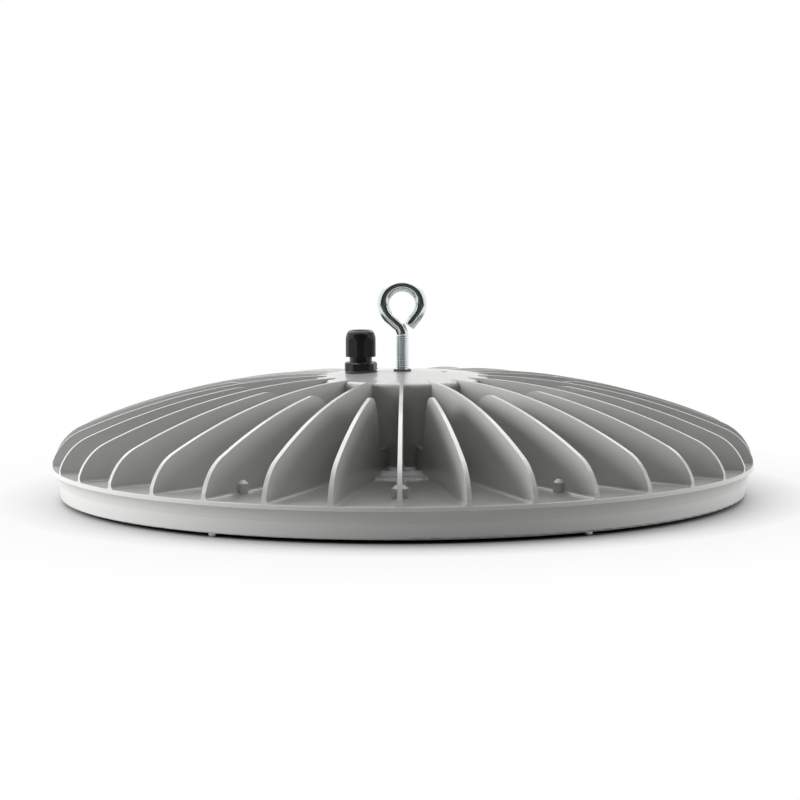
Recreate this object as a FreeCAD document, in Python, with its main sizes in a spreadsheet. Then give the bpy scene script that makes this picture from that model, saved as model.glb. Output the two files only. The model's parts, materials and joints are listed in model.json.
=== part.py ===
"""High bay light: a die-cast disc heat sink with 36 radial fins round a driver hub,
hung from a bent eye bolt, with its LED boards and clear cover on the underside.

Millimetres. +Z is up, the origin is the centre of the base, where the light stands
on the heads of its six bezel screws. Fins are counted by their angle from +X.
"""
import FreeCAD, Part
import math
import os

import Sketcher

Vector = FreeCAD.Vector
SHEET = "Sizes"

# alias, value, what it is (millimetres, degrees or a plain count)
SIZES = (
    ("lip_radius", 210.0, "outer radius of the casting"),
    ("lip_band", 2.1, "height of the straight band under the lip"),
    ("lip_arris", 0.4, "small bevel on the lip"),
    ("rim_radius", 205.3, "outer radius of the rim below the lip"),
    ("rim_neck", 9.6, "height over which the lip draws in to the rim"),
    ("rim_hollow", 12.0, "radius of the hollow under the lip"),
    ("rim_wall", 2.9, "thickness of the rim's skirt"),
    ("rim_edge", 1.3, "rounding of the rim's bottom edge"),
    ("stand_off", 2.2, "height of the rim above the surface, one screw head"),
    ("deck_top", 20.5, "top of the deck between the fins"),
    ("deck_thickness", 4.0, "thickness of the deck"),
    ("seal_rib_radius", 193.5, "outer radius of the rib that carries the gasket"),
    ("seal_rib_width", 3.0, "thickness of that rib"),
    ("seal_rib_end", 8.5, "height of the rib's lower end"),
    ("fin_pairs", 18, "number of long fins, and of short fins between them"),
    ("fin_root", 2.7, "thickness of a fin at the deck"),
    ("fin_tip", 1.9, "thickness of a fin at crown height"),
    ("fin_fillet", 2.2, "fillet at the foot of a fin"),
    ("fin_end_height", 3.5, "height of a fin's upright end at the lip"),
    ("fin_start", 46.0, "radius where a long fin runs out on the hub plate"),
    ("crown_radius", 386.9, "radius of the arc along the fins' top edges"),
    ("crest_radius", 43.7, "radius at which that arc is level"),
    ("crest_height", 71.9, "height of that arc where it is level"),
    ("shoulder_radius", 29.7, "radius of the fins' shoulder towards the lip"),
    ("short_web_top", 34.5, "top of the low web from a short fin to the hub"),
    ("short_foot", 80.0, "radius where a short fin's inner edge meets its web"),
    ("short_head", 90.0, "radius where that edge, drawn on, meets the crown"),
    ("short_web_round", 9.0, "hollow between web and inner edge"),
    ("short_head_round", 18.0, "rounding at the top of the inner edge"),
    ("hub_radius", 54.0, "outer radius of the driver hub at its foot"),
    ("hub_draft", 0.5, "draw taper of the hub over its height"),
    ("hub_foot", 1.6, "bevel at the hub's foot"),
    ("hub_wall", 4.0, "thickness of the hub's wall"),
    ("hub_edge", 3.2, "rounding between hub plate and wall"),
    ("plate_top", 74.0, "top of the hub plate at its centre"),
    ("plate_crown", 450.0, "radius of the slightly domed hub plate"),
    ("plate_under", 67.5, "underside of the hub plate"),
    ("ring_rib_inner", 74.0, "inner radius of the larger ring rib on the deck"),
    ("ring_rib_inner_height", 2.2, "height of the larger ring rib"),
    ("ring_rib_outer", 92.0, "inner radius of the smaller ring rib on the deck"),
    ("ring_rib_outer_height", 1.3, "height of the smaller ring rib"),
    ("ring_rib_crest", 2.6, "width of a ring rib's crest"),
    ("stud_radius", 4.7, "radius of an ejector stud"),
    ("stud_height", 7.2, "height of an ejector stud above the deck"),
    ("stud_outer_ring", 175.0, "radius of the ring of outer studs"),
    ("stud_outer_count", 12, "outer studs, one on every third fin"),
    ("stud_inner_ring", 92.0, "radius of the ring of inner studs"),
    ("stud_inner_count", 6, "inner studs"),
    ("boss_drop", 5.0, "depth of the bosses under the hub plate"),
    ("eye_boss", 9.0, "radius of the boss that the eye bolt is screwed into"),
    ("eye_thread", 4.0, "M8 thread radius"),
    ("eye_seat", 73.94, "height of the spot face under the eye bolt's seal"),
    ("eye_seal_radius", 5.4, "outer radius of that seal"),
    ("eye_wire", 3.55, "radius of the eye's wire"),
    ("eye_ring", 11.15, "radius of the eye, to the middle of the wire"),
    ("eye_centre", 114.0, "height of the eye's centre"),
    ("eye_neck", 94.8, "height where the thread ends and the wire begins"),
    ("eye_bend", 7.0, "radius of the bend between shank and eye"),
    ("eye_end_angle", 38.0, "angle below level where the eye's free end leaves the ring"),
    ("eye_end_length", 7.7, "straight length of that free end"),
    ("eye_bottom", 53.0, "lower end of the shank"),
    ("gland_offset", 25.0, "distance of the cable gland from the axis"),
    ("gland_seat", 72.8, "height of the gland's spot face"),
    ("gland_thread", 8.0, "M16 thread radius"),
    ("side_hole_radius", 2.1, "radius of the M5 tapping beside the eye bolt"),
    ("side_hole_depth", 8.0, "depth of that tapping"),
    ("rim_screw_ring", 201.0, "radius of the ring of bezel screws"),
    ("rim_screw_count", 6, "bezel screws"),
    ("rim_boss", 4.0, "radius of a boss for a bezel screw"),
    ("m3_radius", 1.5, "M3 thread radius"),
    ("m3_clearance", 1.7, "radius of a clearance hole for M3"),
    ("m3_head", 2.7, "radius of an M3 pan head"),
    ("m3_head_height", 2.2, "height of an M3 pan head"),
    ("m4_radius", 2.0, "M4 thread radius"),
    ("m4_clearance", 2.25, "radius of a clearance hole for M4"),
    ("m4_head", 3.6, "radius of an M4 pan head"),
    ("m4_head_height", 2.4, "height of an M4 pan head"),
    ("pillar_ring", 45.5, "radius of the ring of bracket pillars"),
    ("pillar_radius", 4.5, "radius of a bracket pillar"),
    ("pillar_end", 50.0, "height of a pillar's lower end"),
    ("pillar_count", 3, "bracket pillars"),
    ("lid_screw_ring", 46.5, "radius of the ring of compartment screws"),
    ("lid_boss", 4.0, "radius of a boss for a compartment screw"),
    ("lid_boss_top", 28.0, "top of those bosses"),
    ("lid_radius", 57.0, "radius of the driver compartment's lid"),
    ("lid_thickness", 1.5, "thickness of that lid"),
    ("earth_offset", 27.0, "distance of the earth screw from the axis"),
    ("bracket_radius", 42.0, "radius of the driver bracket"),
    ("bracket_thickness", 1.5, "thickness of the driver bracket"),
    ("driver_radius", 40.0, "radius of the potted driver"),
    ("driver_height", 28.0, "height of the potted driver"),
    ("driver_screw_ring", 30.0, "radius of the ring of driver screws"),
    ("board_inner", 62.0, "inner radius of an LED board"),
    ("board_outer", 184.0, "outer radius of an LED board"),
    ("board_thickness", 1.6, "thickness of an LED board"),
    ("board_count", 6, "LED boards in the ring"),
    ("board_gap", 1.2, "gap between two boards"),
    ("board_screw_inner", 72.0, "radius of the inner board screws"),
    ("board_screw_outer", 172.0, "radius of the outer board screws"),
    ("led_side", 3.0, "side of an LED package"),
    ("led_height", 0.7, "height of an LED package"),
    ("cover_radius", 196.0, "radius of the clear cover"),
    ("cover_thickness", 3.5, "thickness of the clear cover"),
    ("bezel_inner", 187.0, "inner radius of the bezel"),
    ("bezel_outer", 203.9, "outer radius of the bezel"),
    ("bezel_thickness", 1.8, "thickness of the bezel"),
)


class Size:
    """A length and the sheet expression that gives it, kept in step by arithmetic."""

    def __init__(self, value, text):
        self.value = value
        self.text = text

    def __add__(self, other):
        other = as_size(other)
        return Size(self.value + other.value, "(%s + %s)" % (self.text, other.text))

    def __sub__(self, other):
        other = as_size(other)
        return Size(self.value - other.value, "(%s - %s)" % (self.text, other.text))

    def __mul__(self, factor):
        factor = as_size(factor)
        return Size(self.value * factor.value, "(%s * %s)" % (self.text, factor.text))

    def __truediv__(self, divisor):
        divisor = as_size(divisor)
        return Size(self.value / divisor.value, "(%s / %s)" % (self.text, divisor.text))

    def __neg__(self):
        return self * -1.0

    __radd__ = __add__
    __rmul__ = __mul__


def as_size(number):
    if isinstance(number, Size):
        return number
    return Size(float(number), "(%.6f)" % number)


class Sizes:
    """The spreadsheet's cells, read as attributes."""

    def __init__(self, sheet):
        for row, (alias, value, meaning) in enumerate(SIZES, start=1):
            sheet.set("A%d" % row, alias)
            sheet.set("B%d" % row, str(value))
            sheet.setAlias("B%d" % row, alias)
            sheet.set("C%d" % row, meaning)
            setattr(self, alias, Size(float(value), "%s.%s" % (SHEET, alias)))


doc = FreeCAD.newDocument("HighBayLight")
sheet = doc.addObject("Spreadsheet::Sheet", SHEET)
s = Sizes(sheet)
doc.recompute()
M3 = (s.m3_radius, s.m3_head, s.m3_head_height)
M4 = (s.m4_radius, s.m4_head, s.m4_head_height)
SUB_PARTS = []


# ---------------------------------------------------------------- sketch helpers

def new_body(name, kept=True):
    """A body; one that is kept is a sub-part of its own, named by its label."""
    body = doc.addObject("PartDesign::Body", name)
    body.Label = name
    body.AllowCompound = True
    body.Placement = FreeCAD.Placement()
    if kept:
        SUB_PARTS.append(body)
    return body


def origin_feature(body, role):
    return next(f for f in body.Origin.OriginFeatures if f.Role == role)


def new_sketch(body, name, plane="XZ_Plane", turn=0.0, lift=0.0):
    """A sketch on one of the body's own origin planes. An upright plane may be turned
    about Z by turn degrees; lift moves the sketch along its plane's normal."""
    sketch = body.newObject("Sketcher::SketchObject", name)
    sketch.AttachmentSupport = [(origin_feature(body, plane), "")]
    sketch.MapMode = "FlatFace"
    axis = Vector(0, 0, 1) if plane == "XY_Plane" else Vector(0, 1, 0)
    rotation = FreeCAD.Rotation(axis, turn)
    shift = rotation.multVec(Vector(0, 0, as_size(lift).value))
    sketch.AttachmentOffset = FreeCAD.Placement(shift, rotation)
    if isinstance(lift, Size) and plane == "XY_Plane":
        sketch.setExpression("AttachmentOffset.Base.z", lift.text)
    return sketch


def bind(sketch, kind, size, *where):
    """Add a dimension driven by the sheet."""
    size = as_size(size)
    index = sketch.addConstraint(Sketcher.Constraint(kind, *where, size.value))
    sketch.setExpression("Constraints[%d]" % index, size.text)


def pin_point(sketch, geometry, end, x, y):
    """Hold a point at (x, y) from the sketch's origin."""
    for kind, size, axis in (("DistanceX", x, -2), ("DistanceY", y, -1)):
        if abs(as_size(size).value) < 1e-9:
            sketch.addConstraint(Sketcher.Constraint("PointOnObject", geometry, end, axis))
        else:
            bind(sketch, kind, size, -1, 1, geometry, end)


def flat(point):
    return Vector(as_size(point[0]).value, as_size(point[1]).value, 0)


def bowed_edge(start, end, radius):
    """An arc from start to end. A positive radius bows to the right of the way from
    start to end. Returns the arc and which of its ends lies at start and at end."""
    chord = end - start
    across = Vector(chord.y, -chord.x, 0).normalize()
    reach = math.sqrt(radius ** 2 - (chord.Length / 2) ** 2)
    sign = 1 if radius > 0 else -1
    centre = (start + end) * 0.5 - across * (sign * reach)
    first, second = (start, end) if radius > 0 else (end, start)
    angles = [math.atan2(p.y - centre.y, p.x - centre.x) for p in (first, second)]
    if angles[1] < angles[0]:
        angles[1] += 2 * math.pi
    arc = Part.ArcOfCircle(Part.Circle(centre, Vector(0, 0, 1), abs(radius)), *angles)
    return arc, (1, 2) if radius > 0 else (2, 1)


def outline(sketch, corners, bows=None):
    """A closed outline through the corners, each (x, y) or (x, y, rounding radius).
    bows gives the edges that are arcs, by the number of the corner they leave."""
    bows = bows or {}
    count = len(corners)
    points = [flat(c) for c in corners]
    cut = [[p, p] for p in points]
    for i, corner in enumerate(corners):
        if len(corner) == 3:
            back = (points[i - 1] - points[i]).normalize()
            ahead = (points[(i + 1) % count] - points[i]).normalize()
            half = back.getAngle(ahead) / 2
            length = as_size(corner[2]).value / math.tan(half)
            cut[i] = [points[i] + back * length, points[i] + ahead * length]
    edges, ends = [], []
    for i in range(count):
        start, end = cut[i][1], cut[(i + 1) % count][0]
        if i in bows:
            arc, order = bowed_edge(start, end, as_size(bows[i]).value)
            edges.append(sketch.addGeometry(arc, False))
            ends.append(order)
        else:
            edges.append(sketch.addGeometry(Part.LineSegment(start, end), False))
            ends.append((1, 2))
    for i, corner in enumerate(corners):
        before, after = edges[i - 1], edges[i]
        if len(corner) == 3:
            round_corner(sketch, before, after, cut[i], points[i], corner)
        else:
            joint = (before, ends[i - 1][1], after, ends[i][0])
            sketch.addConstraint(Sketcher.Constraint("Coincident", *joint))
            pin_point(sketch, after, ends[i][0], corner[0], corner[1])
    for i, radius in bows.items():
        size = as_size(radius)
        bind(sketch, "Radius", size if size.value > 0 else -size, edges[i])


def round_corner(sketch, before, after, cut, point, corner):
    """Join two straight edges with a tangent arc whose sharp corner stays pinned."""
    turning = (point - cut[0]).cross(cut[1] - point).z
    radius = as_size(corner[2]).value if turning > 0 else -as_size(corner[2]).value
    arc, order = bowed_edge(cut[0], cut[1], radius)
    arc = sketch.addGeometry(arc, False)
    sketch.addConstraint(Sketcher.Constraint("Tangent", before, 2, arc, order[0]))
    sketch.addConstraint(Sketcher.Constraint("Tangent", arc, order[1], after, 1))
    bind(sketch, "Radius", corner[2], arc)
    mark = sketch.addGeometry(Part.Point(point), True)
    sketch.addConstraint(Sketcher.Constraint("PointOnObject", mark, 1, before))
    sketch.addConstraint(Sketcher.Constraint("PointOnObject", mark, 1, after))
    pin_point(sketch, mark, 1, corner[0], corner[1])


def circle(sketch, x, y, radius):
    centre = flat((x, y))
    radius = as_size(radius)
    ring = sketch.addGeometry(Part.Circle(centre, Vector(0, 0, 1), radius.value), False)
    bind(sketch, "Radius", radius, ring)
    if centre.Length < 1e-9:
        sketch.addConstraint(Sketcher.Constraint("Coincident", ring, 3, -1, 1))
    else:
        pin_point(sketch, ring, 3, x, y)


def hexagon(sketch, x, y, across_flats, turn=0.0):
    """A hexagon whose first corner lies turn degrees from +X."""
    corner_radius = as_size(across_flats) / math.sqrt(3)
    angles = [math.radians(turn + 60 * k) for k in range(6)]
    outline(sketch, [(as_size(x) + corner_radius * math.cos(a),
                      as_size(y) + corner_radius * math.sin(a)) for a in angles])


def rectangle(sketch, x0, y0, x1, y1):
    outline(sketch, [(x0, y0), (x1, y0), (x1, y1), (x0, y1)])


# --------------------------------------------------------------- feature helpers

def feature(body, kind, name, profile):
    made = body.newObject("PartDesign::" + kind, name)
    made.Profile = profile
    return made


def revolve(body, name, corners, bows=None, axis_at=None, turn=0.0, cut=False):
    """Turn a section about Z, or about an upright axis at distance axis_at from Z."""
    sketch = new_sketch(body, name + "_section", turn=turn)
    outline(sketch, corners, bows)
    if axis_at is not None:
        top = Vector(as_size(axis_at).value, 1.0, 0)
        line = sketch.addGeometry(Part.LineSegment(Vector(top.x, 0, 0), top), True)
        pin_point(sketch, line, 1, axis_at, 0)
        pin_point(sketch, line, 2, axis_at, 1.0)
    made = feature(body, "Groove" if cut else "Revolution", name, sketch)
    made.ReferenceAxis = (sketch, ["V_Axis" if axis_at is None else "Axis0"])
    made.Angle = 360
    return made


def pad(body, name, sketch, height, midplane=False, reverse=False, cut=False):
    made = feature(body, "Pocket" if cut else "Pad", name, sketch)
    made.Type = 0
    made.Length = as_size(height).value
    made.setExpression("Length", as_size(height).text)
    made.Midplane = midplane
    made.Reversed = reverse
    return made


def polar(body, name, originals, count, sweep=360.0):
    made = body.newObject("PartDesign::PolarPattern", name)
    made.Originals = originals
    made.Axis = (origin_feature(body, "Z_Axis"), [""])
    made.Angle = sweep
    made.Occurrences = int(as_size(count).value)
    if isinstance(count, Size):
        made.setExpression("Occurrences", count.text)
    body.Tip = made
    return made


def drilled_ring(body, name, ring, radius, bottom, depth, count, turn=0.0):
    """Blind holes on a circle, open at the height bottom and drilled upwards."""
    sketch = new_sketch(body, name + "_place", "XY_Plane", turn, bottom)
    circle(sketch, ring, 0, radius)
    hole = pad(body, name + "_first", sketch, depth, reverse=True, cut=True)
    return polar(body, name, [hole], count)


def pan_screws(body, name, place, head_seat, screw, length, count=1, turn=0.0, up=True):
    """Pan-head screws on a circle. Their heads lie below head_seat and their shanks
    go up from it, or the other way round. screw is thread radius, head radius and
    head height."""
    thread, head, head_height = screw
    way = 1.0 if up else -1.0
    edge = head_height * 0.3
    tip = head_seat + length * way
    corners = [(place, head_seat - head_height * way),
               (place + head - edge, head_seat - head_height * way),
               (place + head, head_seat - (head_height - edge) * way),
               (place + head, head_seat),
               (place + thread, head_seat),
               (place + thread, tip),
               (place, tip)]
    first = revolve(body, name + "_first", corners, axis_at=place, turn=turn)
    if as_size(count).value > 1:
        polar(body, name + "_ring", [first], count)


def flat_ring(name, inner, outer, bottom, height, bevel=0.0):
    """A flat ring or, with inner 0, a disc, with its outer corners bevelled."""
    body = new_body(name)
    top = bottom + height
    corners = [(inner, bottom), (outer, bottom), (outer, top), (inner, top)]
    if bevel:
        corners[1:3] = [(outer - bevel, bottom), (outer, bottom + bevel),
                        (outer, top - bevel), (outer - bevel, top)]
    revolve(body, name + "_turned", corners)
    return body


# --------------------------------------------------------------- die-cast heat sink

deck_under = s.deck_top - s.deck_thickness
HALF_STEP = 180.0 / s.fin_pairs.value          # from a short fin to the next long one


def fin_pad(body, name, start, turn):
    """One upright fin from start out to the lip: a drafted section with root fillets,
    drawn across the fin and extended outwards. Its foot stands inside the deck."""
    sketch = new_sketch(body, name + "_across", "YZ_Plane", turn, start)
    foot = s.deck_top - 0.05
    root, tip = s.fin_root / 2, s.fin_tip / 2
    flare = root + s.fin_fillet
    crown = s.crest_height + 4.0
    sunk = s.deck_top - 0.4
    outline(sketch,
            [(flare, sunk), (flare, foot), (root, foot + s.fin_fillet), (tip, crown),
             (-tip, crown), (-root, foot + s.fin_fillet), (-flare, foot), (-flare, sunk)],
            {1: -s.fin_fillet, 5: -s.fin_fillet})
    return pad(body, name, sketch, s.lip_radius - start + 2.0)


def short_fin_end(body):
    """Cuts the inner end of a short fin: a low web to the hub, a hollow, a sloping
    free edge and a well-rounded head."""
    sketch = new_sketch(body, "short_fin_end_side")
    inside = s.hub_radius - 5.0
    above = s.crest_height + 6.0
    head = s.crest_height - 3.9
    outline(sketch,
            [(inside, s.short_web_top),
             (s.short_foot - 4.0, s.short_web_top, s.short_web_round),
             (s.short_head, head, s.short_head_round),
             (s.short_head + 16.0, head - 0.9),
             (s.short_head + 16.0, above),
             (inside, above)])
    return pad(body, "short_fin_end", sketch, 12.0, midplane=True, cut=True)


def crown_groove(body):
    """Trims all the fins at once to the crown arc, the shoulder and the lip."""
    sketch = new_sketch(body, "crown_section")
    end = Vector((s.lip_radius - s.lip_arris).value,
                 (s.deck_top + s.fin_end_height).value, 0)
    big, small = s.crown_radius.value, s.shoulder_radius.value
    crest = Vector(s.crest_radius.value, s.crest_height.value, 0)
    centre = crest - Vector(0, big, 0)
    # the shoulder's centre lies at big - small from the crown's, and small from end
    span = end - centre
    along = ((big - small) ** 2 - small ** 2 + span.Length ** 2) / (2 * span.Length)
    rise = math.sqrt((big - small) ** 2 - along ** 2)
    unit = span * (1 / span.Length)
    shoulder = centre + unit * along + Vector(-unit.y, unit.x, 0) * rise
    joint = centre + (shoulder - centre).normalize() * big
    top, out, low = crest.y + 10.0, s.lip_radius.value + 8.0, s.deck_top.value - 4.0
    corners = [crest, joint, end, Vector(end.x, low, 0), Vector(out, low, 0),
               Vector(out, top, 0), Vector(crest.x, top, 0)]
    arc_crown, _ = bowed_edge(crest, joint, -big)
    arc_shoulder, _ = bowed_edge(joint, end, -small)
    edges = [sketch.addGeometry(arc_crown, False), sketch.addGeometry(arc_shoulder, False)]
    for i in range(2, len(corners)):
        line = Part.LineSegment(corners[i], corners[(i + 1) % len(corners)])
        edges.append(sketch.addGeometry(line, False))
    tie = Sketcher.Constraint
    sketch.addConstraint(tie("Tangent", edges[0], 1, edges[1], 2))
    sketch.addConstraint(tie("Coincident", edges[1], 1, edges[2], 1))
    for before, after in zip(edges[2:-1], edges[3:]):
        sketch.addConstraint(tie("Coincident", before, 2, after, 1))
    sketch.addConstraint(tie("Coincident", edges[-1], 2, edges[0], 2))
    bind(sketch, "Radius", s.crown_radius, edges[0])
    bind(sketch, "Radius", s.shoulder_radius, edges[1])
    pin_point(sketch, edges[0], 2, s.crest_radius, s.crest_height)
    bind(sketch, "DistanceX", s.crest_radius, -1, 1, edges[0], 3)
    pin_point(sketch, edges[2], 1, s.lip_radius - s.lip_arris,
              s.deck_top + s.fin_end_height)
    for edge, kind in zip(edges[2:], ("Vertical", "Horizontal", "Vertical",
                                      "Horizontal", "Vertical")):
        sketch.addConstraint(tie(kind, edge))
    pin_point(sketch, edges[4], 1, s.lip_radius + 8.0, s.deck_top - 4.0)
    bind(sketch, "DistanceY", s.crest_height + 10.0, -1, 1, edges[5], 1)
    groove = feature(body, "Groove", "crown_cut", sketch)
    groove.ReferenceAxis = (sketch, ["V_Axis"])
    groove.Angle = 360


def casting_blank(body):
    """The turned form of the casting: domed hub plate, hub, deck with its two ring
    ribs, lip and rim, and the rib inside that carries the gasket."""
    hub_top = s.hub_radius - s.hub_draft
    plate_edge = hub_top - s.hub_edge
    sag = s.plate_crown.value - math.sqrt(s.plate_crown.value ** 2 - plate_edge.value ** 2)
    plate_edge_height = s.plate_top - sag
    ring_ribs = []
    for inner, height in ((s.ring_rib_inner, s.ring_rib_inner_height),
                          (s.ring_rib_outer, s.ring_rib_outer_height)):
        crest = s.deck_top + height
        ring_ribs += [(inner - height, s.deck_top), (inner, crest),
                      (inner + s.ring_rib_crest, crest),
                      (inner + s.ring_rib_crest + height, s.deck_top)]
    rim_end = s.rim_radius - s.rim_edge
    skirt = s.rim_radius - s.rim_wall
    recess = s.stand_off + s.bezel_thickness
    corners = [(0, s.plate_top),
               (plate_edge, plate_edge_height),
               (hub_top, plate_edge_height - s.hub_edge),
               (s.hub_radius, s.deck_top + s.hub_foot),
               (s.hub_radius + s.hub_foot, s.deck_top)]
    corners += ring_ribs
    lip = len(corners)
    corners += [(s.lip_radius - s.lip_arris, s.deck_top),
                (s.lip_radius, s.deck_top - s.lip_arris),
                (s.lip_radius, s.deck_top - s.lip_arris - s.lip_band),
                (s.rim_radius + 0.6, s.deck_top - s.rim_neck),
                (s.rim_radius, s.stand_off + s.rim_edge),
                (rim_end, s.stand_off),
                (rim_end, recess),
                (skirt, recess),
                (skirt - 0.6, deck_under),
                (s.seal_rib_radius + 0.3, deck_under),
                (s.seal_rib_radius, s.seal_rib_end),
                (s.seal_rib_radius - s.seal_rib_width, s.seal_rib_end),
                (s.seal_rib_radius - s.seal_rib_width - 0.3, deck_under),
                (0, deck_under)]
    bows = {0: -s.plate_crown, 1: -s.hub_edge, lip + 2: s.rim_hollow,
            lip + 4: -s.rim_edge}
    revolve(body, "casting_blank", corners, bows)


def studs(body, name, ring, count):
    """Ejector studs with bevelled crowns, which straddle the fins."""
    top = s.deck_top + s.stud_height
    stud = revolve(body, name + "_first",
                   [(ring, s.deck_top - 1.0), (ring + s.stud_radius, s.deck_top - 1.0),
                    (ring + s.stud_radius, top - 1.8),
                    (ring + s.stud_radius * 0.6, top), (ring, top)],
                   axis_at=ring)
    polar(body, name, [stud], count)


def hub_inside(body):
    """The driver compartment inside the hub, and the bosses in it."""
    inside = s.hub_radius - s.hub_wall
    boss_end = s.plate_under - s.boss_drop
    revolve(body, "compartment",
            [(0, deck_under - 1.0), (inside, deck_under - 1.0),
             (inside - s.hub_draft, s.plate_under), (s.eye_boss, s.plate_under),
             (s.eye_boss - 0.3, boss_end), (0, boss_end)], cut=True)
    for name, x, y, radius in (("side_hole_boss", s.gland_offset, 0, 5.0),
                               ("earth_boss", 0, s.earth_offset, 4.5)):
        sketch = new_sketch(body, name + "_place", "XY_Plane", lift=boss_end)
        circle(sketch, x, y, radius)
        pad(body, name, sketch, s.boss_drop + 1.0)
    sketch = new_sketch(body, "pillar_place", "XY_Plane", 30.0, s.pillar_end)
    circle(sketch, s.pillar_ring, 0, s.pillar_radius)
    pillar = pad(body, "pillar_first", sketch, s.plate_under - s.pillar_end + 1.0)
    polar(body, "pillars", [pillar], s.pillar_count)
    sketch = new_sketch(body, "lid_boss_place", "XY_Plane", lift=deck_under)
    circle(sketch, s.lid_screw_ring, 0, s.lid_boss)
    boss = pad(body, "lid_boss_first", sketch, s.lid_boss_top - deck_under)
    polar(body, "lid_bosses", [boss], 6)


def casting_holes(body):
    """Seats and holes in the hub plate, and the tapped holes for the screws."""
    sketch = new_sketch(body, "gland_pad_place", "XY_Plane", lift=s.gland_seat - 3.0)
    circle(sketch, -s.gland_offset, 0, 10.6)
    pad(body, "gland_pad", sketch, 3.0)
    sketch = new_sketch(body, "gland_face_place", "XY_Plane", lift=s.gland_seat)
    circle(sketch, -s.gland_offset, 0, 10.6)
    pad(body, "gland_face", sketch, 4.0, reverse=True, cut=True)
    sketch = new_sketch(body, "eye_seat_place", "XY_Plane", lift=s.eye_seat)
    circle(sketch, 0, 0, s.eye_seal_radius + 0.2)
    pad(body, "eye_seat", sketch, 1.0, reverse=True, cut=True)
    through = s.plate_top - s.plate_under + s.boss_drop + 4.0
    for name, x, radius in (("gland_hole", -s.gland_offset, s.gland_thread),
                            ("eye_hole", 0, s.eye_thread)):
        sketch = new_sketch(body, name + "_place", "XY_Plane", lift=s.plate_top + 1.0)
        circle(sketch, x, 0, radius)
        pad(body, name, sketch, through, cut=True)
    sketch = new_sketch(body, "side_hole_place", "XY_Plane", lift=s.plate_top)
    circle(sketch, s.gland_offset, 0, s.side_hole_radius)
    pad(body, "side_hole", sketch, s.side_hole_depth, cut=True)
    sketch = new_sketch(body, "earth_hole_place", "XY_Plane",
                        lift=s.plate_under - s.boss_drop)
    circle(sketch, 0, s.earth_offset, s.m4_radius)
    pad(body, "earth_hole", sketch, 8.0, reverse=True, cut=True)
    drilled_ring(body, "pillar_holes", s.pillar_ring, s.m4_radius, s.pillar_end, 8.5,
                 s.pillar_count, 30.0)
    drilled_ring(body, "lid_holes", s.lid_screw_ring, s.m3_radius, deck_under, 9.0, 6)
    for turn in (10.0, 50.0):
        for name, ring in (("inner", s.board_screw_inner), ("outer", s.board_screw_outer)):
            drilled_ring(body, "board_holes_%s_%d" % (name, turn), ring, s.m3_radius,
                         deck_under, 3.5, s.board_count, turn)


def rim_bosses(body):
    """Screw bosses in the channel behind the rim, with their tapped holes."""
    seat = s.stand_off + s.bezel_thickness
    sketch = new_sketch(body, "rim_boss_place", "XY_Plane", lift=seat)
    circle(sketch, s.rim_screw_ring, 0, s.rim_boss)
    boss = pad(body, "rim_boss_first", sketch, deck_under - seat + 0.5)
    polar(body, "rim_bosses", [boss], s.rim_screw_count)
    drilled_ring(body, "rim_holes", s.rim_screw_ring, s.m3_radius, seat, 9.0,
                 s.rim_screw_count)


def heat_sink():
    """One casting, drawn in two stages: the turned core with its bosses and holes, and
    the star of fins that one groove trims to the crown and another keeps out of the
    driver compartment."""
    core = new_body("casting_core", kept=False)
    casting_blank(core)
    studs(core, "outer_studs", s.stud_outer_ring, s.stud_outer_count)
    studs(core, "inner_studs", s.stud_inner_ring, s.stud_inner_count)
    hub_inside(core)
    rim_bosses(core)
    casting_holes(core)
    fins = new_body("fin_star", kept=False)
    short = fin_pad(fins, "short_fin", s.hub_radius - 2.0, 0.0)
    end = short_fin_end(fins)
    polar(fins, "short_fins", [short, end], s.fin_pairs)
    long = fin_pad(fins, "long_fin", s.fin_start, HALF_STEP)
    polar(fins, "long_fins", [long], s.fin_pairs)
    crown_groove(fins)
    clear_to = s.hub_radius - s.hub_wall / 2
    revolve(fins, "compartment_room",
            [(s.fin_start - 4.0, deck_under), (clear_to, deck_under),
             (clear_to, s.plate_under + 1.0), (s.fin_start - 4.0, s.plate_under + 1.0)],
            cut=True)
    casting = doc.addObject("Part::Fuse", "heat_sink")
    casting.Label = "heat_sink"
    casting.Base = core
    casting.Tool = fins
    casting.Refine = True
    casting.Placement = FreeCAD.Placement()
    SUB_PARTS.append(casting)


# ----------------------------------------------------------------- hanging hardware

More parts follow.
